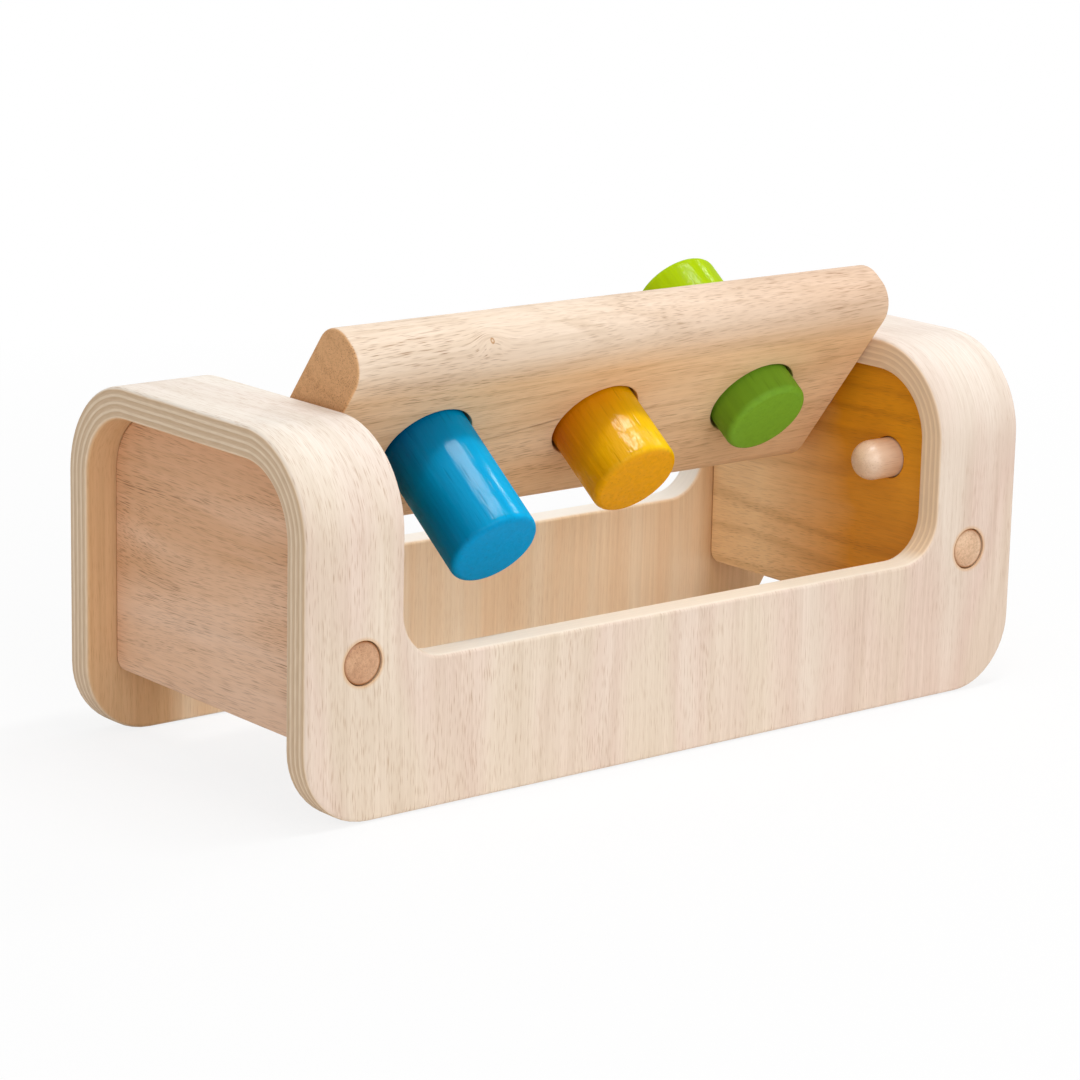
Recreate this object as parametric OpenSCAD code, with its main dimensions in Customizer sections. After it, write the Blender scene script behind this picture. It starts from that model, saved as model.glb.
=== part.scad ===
// Peg pounding bench: a bent ply shell, two end panels and a bar of pegs that turns over.
// Millimetres. X runs along the bench, the front faces -Y and Z is up.
// The origin is on the ground, under the middle of the shell.

/* [Shell] */
// Length of the bent ply shell
shell_l = 260; // [220:1:320]
// Depth of the shell from front to rear
shell_w = 114; // [104:1:140]
// Height of the shell
shell_h = 104; // [96:1:130]
// Thickness of the bent ply
ply_t = 9; // [6:0.5:12]
// Outside radius of the two long bends
bend_r = 28; // [18:1:34]
// Radius of the lower corners of the front and rear walls
foot_r = 21; // [8:1:24]

/* [Window] */
// Height of the window's sill above the ground
sill_h = 42; // [34:1:56]
// Radius of the window's lower corners
window_r = 13; // [6:1:20]
// How far the shell reaches past the inner face of each end panel
hoop_lip = 4.5; // [2:0.5:10]

/* [End panels] */
// Thickness of the end panels
panel_t = 18; // [16:0.5:24]
// How far each end panel is set in from the end of the shell
panel_recess = 9.5; // [4:0.5:16]
// Height of the end panels' lower edge above the ground
panel_lift = 19.5; // [10:0.5:26]
// Radius of the end panels' lower corners
panel_foot_r = 3.5; // [1:0.5:12]

/* [Dowels and stop pins] */
// Diameter of all the dowels, stop pins and axles
dowel_d = 12; // [8:0.5:13]
// Length of the joint dowels
dowel_l = 40; // [24:1:44]
// Height of the joint dowels, as a share of the way from the panels' lower edge to the stop pins
dowel_rise_share = 0.5; // [0.3:0.05:0.6]
// Rounding of the dowels' ends
dowel_round = 1; // [0.5:0.1:2]
// How far the stop pins reach under the ends of the bar
pin_lap = 7.5; // [5:0.5:10]
// Room between the stop pins and the short edge of the turning bar
pin_room = 5; // [3:0.5:9]
// Wood left behind the blind holes in the end panels
blind_wall = 4; // [2:0.5:6]

/* [Bar] */
// Width of the bar across its face
bar_w = 72; // [60:1:80]
// Thickness of the bar
bar_t = 20; // [18:0.5:24]
// Rounding of the bar's long edges
bar_round = 8.5; // [2:0.5:8.5]
// Gap between each end of the bar and the window
bar_end_gap = 1; // [0.5:0.1:2]
// How far the axles lie below the top of the shell
axle_drop = 20; // [17:0.5:26]
// Distance from the axles to the bar's short edge
axle_edge = 23.5; // [18:0.5:26]
// Wood left between the end of each axle and the nearest peg hole
axle_wall = 2.7; // [2:0.1:6]
// How far the bar's long edge is turned up from lying flat at the front
bar_turn = 53; // [0:1:180]

/* [Pegs] */
// Diameter of the pegs
peg_d = 26.5; // [20:0.5:28]
// Length of the pegs
peg_l = 55; // [48:1:58]
// Rounding of the pegs' ends
peg_round = 2; // [1:0.5:4]
// Distance from the outer pegs to the ends of the bar
peg_margin = 37; // [32:0.5:42]
// Gap between a peg and its hole
peg_gap = 0.75; // [0.5:0.05:1.5]
// Eased edge of the peg holes
hole_ease = 0.6; // [0.2:0.1:1]
// How far the blue peg stands out of the bar's underside
blue_out = 39; // [0:0.5:39]
// How far the yellow peg stands out of the bar's underside
yellow_out = 23.5; // [0:0.5:39]
// How far the green peg stands out of the bar's underside
green_out = 9; // [0:0.5:39]

/* [Grip rings] */
// Length of the grip rings along the peg holes
ring_l = 8; // [5:0.5:10]
// Thickness of the grip rings
ring_t = 3; // [2:0.5:3.5]

/* [Clearances] */
// Gap in the glued joints
glue_gap = 0.05; // [0.02:0.01:0.1]
// Gap round the axles where they turn
turn_gap = 0.05; // [0.02:0.01:0.1]
// Gap between a peg and its grip ring
slide_gap = 0.05; // [0.02:0.01:0.1]
// Gap between the flat bar and the stop pins
stop_gap = 0.3; // [0.2:0.1:1]
// End play of each axle in its blind hole
axle_play = 0.5; // [0.2:0.1:1]

/* [Hidden] */
$fn = 96;

left = -1;
right = 1;
front = -1;
rear = 1;
sides = [left, right];
faces = [front, rear];

// Every cut runs past its piece by this much
overrun = 2;

// Inside of the shell, and the window that leaves a hoop at each end
inner_w = shell_w - 2 * ply_t;
inner_h = shell_h - ply_t;
inner_r = bend_r - ply_t;
hoop_w = panel_recess + panel_t + hoop_lip;
window_w = shell_l - 2 * hoop_w;

// Places of the end panels, measured outwards from the middle
panel_in = shell_l / 2 - panel_recess - panel_t;
panel_mid = panel_in + panel_t / 2;
blind_depth = panel_t - blind_wall;

// Bar, with its axles and pegs
bar_l = window_w - 2 * bar_end_gap;
bar_mid = bar_w / 2 - axle_edge;
axle_z = shell_h - axle_drop;
peg_r = peg_d / 2;
hole_r = peg_r + peg_gap;
ring_in = peg_r + slide_gap;
ring_out = ring_in + ring_t;
groove_r = ring_out + glue_gap;
groove_l = ring_l + 2 * glue_gap;
peg_pitch = bar_l / 2 - peg_margin;
left_x = left * peg_pitch;
right_x = right * peg_pitch;
axle_start = peg_pitch + groove_r + axle_wall;
axle_end = panel_in + blind_depth - axle_play;

// Dowels and stop pins. The pins carry the flat bar and clear its short edge as it turns.
dowel_r = dowel_d / 2;
bore_r = dowel_r + glue_gap;
pin_reach = hoop_lip + bar_end_gap + pin_lap;
pin_drop = bar_t / 2 + dowel_r + stop_gap;
pin_z = axle_z - pin_drop;
dowel_z = panel_lift + dowel_rise_share * (pin_z - panel_lift);
swing_r = norm([axle_edge - bar_round, bar_t / 2 - bar_round]) + bar_round;
pin_span = swing_r + dowel_r + pin_room;
pin_y = sqrt(pin_span * pin_span - pin_drop * pin_drop);

ply_color = "#EFDDC5";
panel_color = "#C9A27C";
dowel_color = "#C79B72";
pin_color = "#E6C6A6";
bar_color = "#DDBB92";
blue_paint = "#0F86B5";
yellow_paint = "#D9A10F";
green_paint = "#6BA32D";
ring_color = "#2B2B2B";

// Sweeps a front view along Y
module along_y(l) {
    rotate([90, 0, 0]) linear_extrude(height = l, center = true) children();
}

// Sweeps an end view along X
module along_x(l) {
    rotate([90, 0, 90]) linear_extrude(height = l, center = true) children();
}

// Plain hole along X, from the inner end outwards
module hole_x(r, l) {
    rotate([0, 90, 0]) cylinder(r = r, h = l);
}

// Plain hole along Y, centred on its length
module hole_y(r, l) {
    rotate([90, 0, 0]) cylinder(r = r, h = l, center = true);
}

// Rectangle with rounded corners, centred
module rounded_rectangle(w, h, r) {
    square([w - 2 * r, h], center = true);
    square([w, h - 2 * r], center = true);
    for (i = sides, j = sides)
        translate([i * (w / 2 - r), j * (h / 2 - r)]) circle(r = r);
}

// Waste outside a rounded lower corner, with the corner's centre at the origin
module corner_waste(side, r) {
    difference() {
        translate([side * (r + overrun) / 2, -(r + overrun) / 2]) square(r + overrun, center = true);
        circle(r = r);
    }
}

// Round rod along Z with both ends rounded, centred on its length
module round_rod(r, l, ease) {
    rotate_extrude()
        intersection() {
            rounded_rectangle(2 * r, l, ease);
            translate([0, -l / 2]) square([r, l]);
        }
}

// Round rod that grows along Z from its square end to a ball end
module ball_rod(r, l) {
    rotate_extrude() {
        square([r, l - r]);
        intersection() {
            translate([0, l - r]) circle(r = r);
            translate([0, l - r]) square(r);
        }
    }
}

// Upside-down U outline with its two upper corners bent, reaching below the ground by drop
module bend_outline(w, h, r, drop) {
    translate([-w / 2, -drop]) square([w, h - r + drop]);
    translate([r - w / 2, -drop]) square([w - 2 * r, h + drop]);
    for (face = faces)
        translate([face * (w / 2 - r), h - r]) circle(r = r);
}

// Window in the front view, open at the top
module window_outline() {
    translate([-window_w / 2, sill_h + window_r]) square([window_w, shell_h]);
    translate([window_r - window_w / 2, sill_h]) square([window_w - 2 * window_r, shell_h]);
    for (side = sides)
        translate([side * (window_w / 2 - window_r), sill_h + window_r]) circle(r = window_r);
}

module ply_shell() {
    color(ply_color)
    difference() {
        along_x(shell_l) bend_outline(shell_w, shell_h, bend_r, 0);
        along_x(shell_l + 2 * overrun) bend_outline(inner_w, inner_h, inner_r, overrun);
        along_y(shell_w + 2 * overrun) window_outline();
        for (side = sides) {
            along_y(shell_w + 2 * overrun)
                translate([side * (shell_l / 2 - foot_r), foot_r]) corner_waste(side, foot_r);
            translate([side * panel_mid, 0, dowel_z]) hole_y(bore_r, shell_w + 2 * overrun);
        }
    }
}

// End view of an end panel, which fills the shell from its lower edge up
module panel_outline() {
    w = inner_w - 2 * glue_gap;
    difference() {
        bend_outline(w, inner_h - glue_gap, inner_r - glue_gap, 0);
        translate([-inner_w / 2, -overrun]) square([inner_w, panel_lift + overrun]);
        for (face = faces)
            translate([face * (w / 2 - panel_foot_r), panel_lift + panel_foot_r])
                corner_waste(face, panel_foot_r);
    }
}

module end_panel(side) {
    turn = side == left ? 180 : 0;
    color(panel_color)
    rotate([0, 0, turn])
    difference() {
        translate([panel_mid, 0, 0]) along_x(panel_t) panel_outline();
        for (face = faces) {
            translate([panel_mid, face * shell_w / 2, dowel_z]) hole_y(bore_r, 2 * (dowel_l + glue_gap));
            translate([panel_in - overrun, face * pin_y, pin_z]) hole_x(bore_r, blind_depth + overrun);
        }
        translate([panel_in - overrun, 0, axle_z]) hole_x(dowel_r + turn_gap, blind_depth + overrun);
    }
}

module joint_dowel(side, face) {
    color(dowel_color)
    translate([side * panel_mid, face * (shell_w - dowel_l) / 2, dowel_z])
        rotate([90, 0, 0]) round_rod(dowel_r, dowel_l, dowel_round);
}

module stop_pin(side, face) {
    seat = blind_depth - glue_gap;
    color(pin_color)
    translate([side * (panel_in + seat), face * pin_y, pin_z])
        rotate([0, -90 * side, 0]) ball_rod(dowel_r, seat + pin_reach);
}

// Places a piece of the bar, which is drawn lying flat with the axle on the X axis
module in_bar() {
    translate([0, 0, axle_z]) rotate([-bar_turn, 0, 0]) children();
}

// Places a piece on the axis of a peg hole
module at_hole(x) {
    in_bar() translate([x, -bar_mid, 0]) children();
}

// Peg hole with its groove and its eased mouths
module peg_hole() {
    cylinder(r = hole_r, h = bar_t + 2 * overrun, center = true);
    cylinder(r = groove_r, h = groove_l, center = true);
    for (turn = [0, 180])
        rotate([turn, 0, 0]) translate([0, 0, bar_t / 2 - hole_ease])
            cylinder(r1 = hole_r, r2 = hole_r + hole_ease, h = hole_ease);
}

module peg_bar() {
    color(bar_color)
    in_bar()
    difference() {
        along_x(bar_l) translate([-bar_mid, 0]) rounded_rectangle(bar_w, bar_t, bar_round);
        for (x = [left_x, 0, right_x])
            translate([x, -bar_mid, 0]) peg_hole();
        for (turn = [0, 180])
            rotate([0, 0, turn]) translate([axle_start - glue_gap, 0, 0]) hole_x(bore_r, bar_l / 2);
    }
}

module axle(side) {
    color(dowel_color)
    translate([side * (axle_start + axle_end) / 2, 0, axle_z])
        rotate([0, 90, 0]) round_rod(dowel_r, axle_end - axle_start, dowel_round);
}

// A peg stands out of the bar's underside by out
module peg(x, out, paint) {
    color(paint)
    at_hole(x) translate([0, 0, (peg_l - bar_t) / 2 - out]) round_rod(peg_r, peg_l, peg_round);
}

module grip_ring(x) {
    color(ring_color)
    at_hole(x)
    difference() {
        cylinder(r = ring_out, h = ring_l, center = true);
        cylinder(r = ring_in, h = ring_l + 2 * overrun, center = true);
    }
}

ply_shell();
end_panel(left);  // left_end_panel
end_panel(right);  // right_end_panel
joint_dowel(left, front);  // front_left_dowel
joint_dowel(right, front);  // front_right_dowel
joint_dowel(left, rear);  // rear_left_dowel
joint_dowel(right, rear);  // rear_right_dowel
stop_pin(left, front);  // front_left_stop
stop_pin(right, front);  // front_right_stop
stop_pin(left, rear);  // rear_left_stop
stop_pin(right, rear);  // rear_right_stop
peg_bar();
axle(left);  // left_axle
axle(right);  // right_axle
peg(left_x, blue_out, blue_paint);  // blue_peg
peg(0, yellow_out, yellow_paint);  // yellow_peg
peg(right_x, green_out, green_paint);  // green_peg
grip_ring(left_x);  // left_grip_ring
grip_ring(0);  // middle_grip_ring
grip_ring(right_x);  // right_grip_ring
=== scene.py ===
import bmesh
import bpy
import math
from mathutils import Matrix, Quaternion, Vector


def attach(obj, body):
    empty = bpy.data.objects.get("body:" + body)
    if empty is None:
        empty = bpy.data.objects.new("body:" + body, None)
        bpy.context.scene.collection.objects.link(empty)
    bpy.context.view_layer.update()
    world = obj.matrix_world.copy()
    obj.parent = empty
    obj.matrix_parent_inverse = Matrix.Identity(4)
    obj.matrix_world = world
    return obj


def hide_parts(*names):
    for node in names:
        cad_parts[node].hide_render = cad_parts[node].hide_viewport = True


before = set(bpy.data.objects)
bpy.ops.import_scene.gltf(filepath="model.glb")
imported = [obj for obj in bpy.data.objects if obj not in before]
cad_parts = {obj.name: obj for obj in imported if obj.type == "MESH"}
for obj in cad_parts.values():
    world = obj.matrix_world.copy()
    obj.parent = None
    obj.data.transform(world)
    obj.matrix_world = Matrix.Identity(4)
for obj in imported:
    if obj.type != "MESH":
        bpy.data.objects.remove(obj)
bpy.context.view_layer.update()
mm = 0.001
print("frame loaded")


# small helpers for modelling

def clearPick():
    bpy.ops.object.select_all(action="DESELECT")


def activate(piece):
    clearPick()
    piece.select_set(True)
    bpy.context.view_layer.objects.active = piece


def startEdit(piece):
    activate(piece)
    bpy.ops.object.mode_set(mode="EDIT")


def endEdit():
    bpy.ops.object.mode_set(mode="OBJECT")


def pick(piece, kind, test):  # in edit mode, picks what passes the test by its place or normal
    bpy.ops.mesh.select_mode(type=kind)
    bpy.ops.mesh.select_all(action="DESELECT")
    mesh = bmesh.from_edit_mesh(piece.data)
    for item in {"VERT": mesh.verts, "EDGE": mesh.edges, "FACE": mesh.faces}[kind]:
        if test(item):
            item.select_set(True)
    mesh.select_flush_mode()
    bmesh.update_edit_mesh(piece.data)


def runsAlong(edge, axis):  # whether an edge runs along x, y or z, which are 0, 1 and 2
    a, b = edge.verts
    return abs(a.co[axis] - b.co[axis]) > mm


def liesAt(edge, axis, place, slack=0.1):  # whether a whole edge lies at a place along an axis, in mm
    return all(abs(v.co[axis] - place * mm) < slack * mm for v in edge.verts)


def onRim(edge, axis, face, holes, slack=0.02):  # whether an edge is on a face, round a hole in it, in mm
    for v in edge.verts:
        spot = list(v.co / mm)
        offFace = abs(abs(spot.pop(axis)) - face)
        offRim = min(math.dist(spot, (a, b)) - radius for a, b, radius in holes)
        if offFace > slack / 2 or offRim > slack:
            return False
    return True


def roundPicked(radius, segments, affect="EDGES"):
    bpy.ops.mesh.bevel(offset=radius * mm, segments=segments, profile=0.5, affect=affect)


def setDown(piece):  # the place goes into the mesh and the object to the origin
    activate(piece)
    bpy.ops.object.transform_apply(location=True, rotation=True, scale=True)


def addBlock(lo, hi):  # a block between two corners in mm
    clearPick()
    size = [(b - a) * mm for a, b in zip(lo, hi)]
    middle = [(a + b) / 2 * mm for a, b in zip(lo, hi)]
    bpy.ops.mesh.primitive_cube_add(size=1, location=middle, scale=size)
    block = bpy.context.object
    setDown(block)
    return block


def addRod(radius, start, end, sides=64, caps="NGON"):  # a round rod between two points in mm
    clearPick()
    a, b = Vector(start) * mm, Vector(end) * mm
    turn = (b - a).to_track_quat("Z", "Y").to_euler()
    bpy.ops.mesh.primitive_cylinder_add(vertices=sides, radius=radius * mm, depth=(b - a).length,
                                        end_fill_type=caps, location=(a + b) / 2, rotation=turn)
    rod = bpy.context.object
    setDown(rod)
    return rod


def addModifier(piece, kind, **settings):
    activate(piece)
    step = piece.modifiers.new(kind.lower(), kind)
    for key, value in settings.items():
        setattr(step, key, value)
    bpy.ops.object.modifier_apply(modifier=step.name)


def thicken(piece, thickness):  # inwards from the drawn face
    addModifier(piece, "SOLIDIFY", thickness=thickness * mm, offset=-1, use_even_offset=True)


def cutAway(piece, cutter):
    addModifier(piece, "BOOLEAN", operation="DIFFERENCE", solver="EXACT", object=cutter)
    bpy.data.objects.remove(cutter)


def easeEdges(piece, width, angle=40, segments=3):
    addModifier(piece, "BEVEL", width=width * mm, segments=segments, limit_method="ANGLE",
                angle_limit=math.radians(angle), use_clamp_overlap=True)


def softShade(piece, angle=35):
    activate(piece)
    bpy.ops.object.shade_smooth_by_angle(angle=math.radians(angle))
    addModifier(piece, "WEIGHTED_NORMAL", keep_sharp=True)


def copyPiece(piece, move=(0, 0, 0), turn=0):  # moved in mm, then turned about the upright middle line
    activate(piece)
    bpy.ops.object.duplicate(linked=False)
    twin = bpy.context.object
    twin.location = Vector(move) * mm
    setDown(twin)
    twin.rotation_euler = (0, 0, math.radians(turn))
    setDown(twin)
    return twin


def settle(piece, name, node, body, finish):
    piece.name = name
    piece.data.name = name
    piece.data.materials.clear()
    piece.data.materials.append(finish)
    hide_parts(node)
    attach(piece, body)


# small helpers for materials

def linear(c):  # one channel of a screen colour, 0 to 255, as light
    return c / 255 / 12.92 if c < 10 else ((c / 255 + 0.055) / 1.055) ** 2.4


def rgb(r, g, b):  # a screen colour as the linear one that the nodes take
    return linear(r), linear(g), linear(b), 1


def startMaterial(name):
    finish = bpy.data.materials.new(name)
    finish.use_nodes = True
    tree = finish.node_tree
    return finish, tree, tree.nodes["Principled BSDF"]


def objectPlace(tree):
    return tree.nodes.new("ShaderNodeTexCoord").outputs["Object"]


def put(tree, socket, value):  # a link or a plain value
    if isinstance(value, bpy.types.NodeSocket):
        tree.links.new(value, socket)
    else:
        socket.default_value = value


def calc(tree, how, a, b=0.0):
    node = tree.nodes.new("ShaderNodeMath")
    node.operation = how
    put(tree, node.inputs[0], a)
    put(tree, node.inputs[1], b)
    return node.outputs[0]


def times(tree, first, *others):
    for other in others:
        first = calc(tree, "MULTIPLY", first, other)
    return first


def span(tree, value, low, high, toLow=0.0, toHigh=1.0):  # maps low..high to toLow..toHigh
    node = tree.nodes.new("ShaderNodeMapRange")
    for key, number in (("From Min", low), ("From Max", high), ("To Min", toLow), ("To Max", toHigh)):
        node.inputs[key].default_value = number
    put(tree, node.inputs["Value"], value)
    return node.outputs["Result"]


def spread(tree, noise, toLow=0.0, toHigh=1.0):  # maps where most of a noise's values lie
    return span(tree, noise, 0.3, 0.7, toLow, toHigh)


def stretch(tree, vector, scale):
    node = tree.nodes.new("ShaderNodeVectorMath")
    node.operation = "MULTIPLY"
    put(tree, node.inputs[0], vector)
    node.inputs[1].default_value = scale
    return node.outputs["Vector"]


def turned(tree, vector, angles, shift=(0, 0, 0)):  # turned by degrees, then moved by mm
    node = tree.nodes.new("ShaderNodeMapping")
    node.inputs["Rotation"].default_value = [math.radians(a) for a in angles]
    node.inputs["Location"].default_value = [a * mm for a in shift]
    put(tree, node.inputs["Vector"], vector)
    return node.outputs["Vector"]


def inMm(tree, vector):  # x, y and z in mm
    node = tree.nodes.new("ShaderNodeSeparateXYZ")
    put(tree, node.inputs[0], stretch(tree, vector, (1 / mm, 1 / mm, 1 / mm)))
    return node.outputs[0], node.outputs[1], node.outputs[2]


def joined(tree, x, y, z):
    node = tree.nodes.new("ShaderNodeCombineXYZ")
    for socket, value in zip(node.inputs, (x, y, z)):
        put(tree, socket, value)
    return node.outputs[0]


def reach(tree, a, b):  # how far a point lies from the middle, by its two offsets
    node = tree.nodes.new("ShaderNodeVectorMath")
    node.operation = "LENGTH"
    put(tree, node.inputs[0], joined(tree, a, b, 0.0))
    return node.outputs["Value"]


def fromDowel(tree, dowelX, dowelZ):  # how far a point lies from the nearest dowel's middle line, in mm
    x, y, z = inMm(tree, objectPlace(tree))
    aside = calc(tree, "SUBTRACT", calc(tree, "ABSOLUTE", x), dowelX)
    return reach(tree, aside, calc(tree, "SUBTRACT", z, dowelZ))


def shove(tree, vector, amounts):  # moves a pattern's place
    node = tree.nodes.new("ShaderNodeVectorMath")
    put(tree, node.inputs[0], vector)
    put(tree, node.inputs[1], joined(tree, *amounts))
    return node.outputs["Vector"]


def grain(tree, vector, cells, detail=2.0, roughness=0.5):  # noise with so many cells in a metre each way
    node = tree.nodes.new("ShaderNodeTexNoise")
    node.inputs["Scale"].default_value = 1
    node.inputs["Detail"].default_value = detail
    node.inputs["Roughness"].default_value = roughness
    put(tree, node.inputs["Vector"], stretch(tree, vector, cells))
    return node.outputs["Fac"]


def patches(tree, vector, cells):  # slow patches, in which pores lie thick or half as thick
    return span(tree, grain(tree, vector, cells, 1.0), 0.36, 0.62, 0.5, 1)


def pores(tree, vector, cells, small, big, share):  # dashes of uneven depth, one in each picked cell
    shallowest = 0.3
    node = tree.nodes.new("ShaderNodeTexVoronoi")
    node.inputs["Scale"].default_value = 1
    put(tree, node.inputs["Vector"], stretch(tree, vector, cells))
    dash = span(tree, node.outputs["Distance"], small, big, 1, 0)
    split = tree.nodes.new("ShaderNodeSeparateColor")
    put(tree, split.inputs[0], node.outputs["Color"])
    picked = calc(tree, "LESS_THAN", split.outputs[0], share)
    depth = times(tree, picked, span(tree, split.outputs[1], 0, 1, shallowest, 1))
    return times(tree, dash, depth)


def ramp(tree, value, stops):
    node = tree.nodes.new("ShaderNodeValToRGB")
    band = node.color_ramp
    while len(band.elements) < len(stops):
        band.elements.new(0.5)
    for element, (place, colour) in zip(band.elements, stops):
        element.position = place
        element.color = colour
    put(tree, node.inputs["Fac"], value)
    return node.outputs["Color"]


def mixColour(tree, how, share, a, b):
    node = tree.nodes.new("ShaderNodeMix")
    node.data_type = "RGBA"
    node.blend_type = how
    put(tree, node.inputs[0], share)
    put(tree, node.inputs[6], a)
    put(tree, node.inputs[7], b)
    return node.outputs[2]


def shade(tree, colour, value, warmth=(1, 1.25, 1.6)):  # darkens or lightens, and the darks turn warmer
    node = tree.nodes.new("ShaderNodeCombineColor")
    for socket, power in zip(node.inputs, warmth):
        put(tree, socket, calc(tree, "POWER", value, power))
    return mixColour(tree, "MULTIPLY", 1.0, colour, node.outputs[0])


def bumpOn(tree, shader, height, strength, distance, sockets=("Normal",)):
    node = tree.nodes.new("ShaderNodeBump")
    node.inputs["Strength"].default_value = strength
    node.inputs["Distance"].default_value = distance
    put(tree, node.inputs["Height"], height)
    for socket in sockets:
        tree.links.new(node.outputs["Normal"], shader.inputs[socket])


# what all the bare wood has in common: its sheen, and a slight relief of streaks and pores

bareWood = {
    "roughChange": 0.06, "specular": 0.25,
    "streakHeight": 0.35, "relief": 0.1, "reliefDepth": 0.0003,
}


def finishWood(tree, shader, look, colour, streak, dash):
    tree.links.new(colour, shader.inputs["Base Color"])
    rough, change = look["roughness"], bareWood["roughChange"]
    put(tree, shader.inputs["Roughness"], spread(tree, streak, rough + change, rough - change))
    shader.inputs["Specular IOR Level"].default_value = look.get("specular", bareWood["specular"])
    height = calc(tree, "SUBTRACT", times(tree, streak, bareWood["streakHeight"]), dash)
    bumpOn(tree, shader, height, look.get("relief", bareWood["relief"]), bareWood["reliefDepth"])


# finish of the bent ply: face veneer outside, plies on the edges, a warmer veneer inside, with painted
# light and shade laid over them
# a reach is where something starts and ends, in mm along the bench or along the sheet from its middle

veneer = {
    "face": [(0.05, rgb(228, 209, 187)), (0.4, rgb(235, 217, 197)),
             (0.6, rgb(233, 211, 194)), (0.95, rgb(241, 227, 210))],
    "waviness": 6, "streak": (0.96, 1.03), "fine": (0.95, 1.04), "wide": (0.97, 1.025),
    "figureLines": 75, "figureStart": 0.4, "figureShade": 0.965,
    # top: a paler tone painted on the top of the sheet, painted light where it is most lit
    "top": rgb(246, 243, 236), "topLightShare": 0.5, "topReach": (34, 72),
    # painted shade: the face is multiplied darker towards the right end
    "rightShade": rgb(248, 243, 242), "rightReach": (20, 115),
    "flecks": rgb(202, 174, 148), "fleckShare": 0.9, "fleckFade": 0.55, "fleckReach": (-10, 80),
    "pores": [((2300, 150, 300), 0.08, 0.36, 0.75), ((3000, 210, 300), 0.08, 0.38, 0.8)],
    "holeRim": rgb(222, 172, 112), "holeRimShare": 0.6, "holeRimReach": (6.2, 7.2),  # from a dowel's middle
    # inside: the inner face's warmer veneer, partly painted warm shade; the recess tone below is painted
    # shade in the two end recesses
    "inside": [(0.1, rgb(248, 216, 179)), (0.5, rgb(252, 226, 193)), (0.9, rgb(254, 234, 206))],
    "insideStreak": (0.92, 1.04), "insideFlecks": 0.6,
    "recessShade": rgb(216, 171, 120), "recessShare": 0.8, "recessReach": (96, 104),
    "plyTones": {"dark": rgb(214, 183, 149), "mid": rgb(221, 193, 160), "pale": rgb(238, 215, 187)},
    "plies": [(0.07, "pale"), (0.1, "dark"), (0.2, "mid"), (0.24, "pale"),
              (0.29, "pale"), (0.32, "dark"), (0.43, "mid"), (0.46, "pale"),
              (0.51, "pale"), (0.54, "dark"), (0.66, "mid"), (0.69, "pale"),
              (0.74, "pale"), (0.77, "dark"), (0.88, "mid"), (0.92, "pale")],
    "plyUneven": 0.5, "plySpeck": (0.93, 1.05),
    # painted light: a share of the pale sill tone on the window edges, more on the sill, and the palest
    # tone round the rear window
    "windowTint": rgb(255, 240, 220), "windowEdgeLight": 0.3, "windowReach": (99.5, 101),
    "sill": rgb(247, 236, 220), "sillStart": (104, 106.5), "sillEnd": (108.5, 110),
    "rearEdgeHighlight": rgb(252, 246, 237), "rearReach": (60, 70), "edgeLightShare": 0.85,
    "faceDepth": (0.3, 0.8), "insideDepth": (8.3, 8.8),  # into the ply
    "roughness": 0.55, "relief": 0.06,
    "cells": {  # in a metre along the bench, along the sheet and into the ply
        "wave": (22, 7, 60), "blotch": (26, 7, 26), "streak": (900, 16, 800), "fine": (2400, 14, 800),
        "wide": (170, 5, 200), "figure": (13, 2.6, 13), "patches": (34, 16, 30),
        "inBlotch": (90, 6, 26), "uneven": (60, 60, 300), "speck": (900, 220, 2600)},
}


def unrolled(tree, s):  # a place on the sheet laid flat: along the bench, along the sheet, into the ply
    x, y, z = inMm(tree, objectPlace(tree))
    bend, flatY, flatZ = s["bend"], s["depth"] / 2 - s["bend"], s["height"] - s["bend"]
    side = calc(tree, "ABSOLUTE", y)
    outY = calc(tree, "MAXIMUM", calc(tree, "SUBTRACT", side, flatY), 0.0)
    outZ = calc(tree, "MAXIMUM", calc(tree, "SUBTRACT", z, flatZ), 0.0)
    arc = times(tree, calc(tree, "ARCTAN2", outY, outZ), bend)
    drop = calc(tree, "MAXIMUM", calc(tree, "SUBTRACT", flatZ, z), 0.0)
    along = calc(tree, "ADD", calc(tree, "ADD", calc(tree, "MINIMUM", side, flatY), arc), drop)
    along = times(tree, along, calc(tree, "SIGN", y))
    return x, along, calc(tree, "SUBTRACT", bend, reach(tree, outY, outZ))


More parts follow.
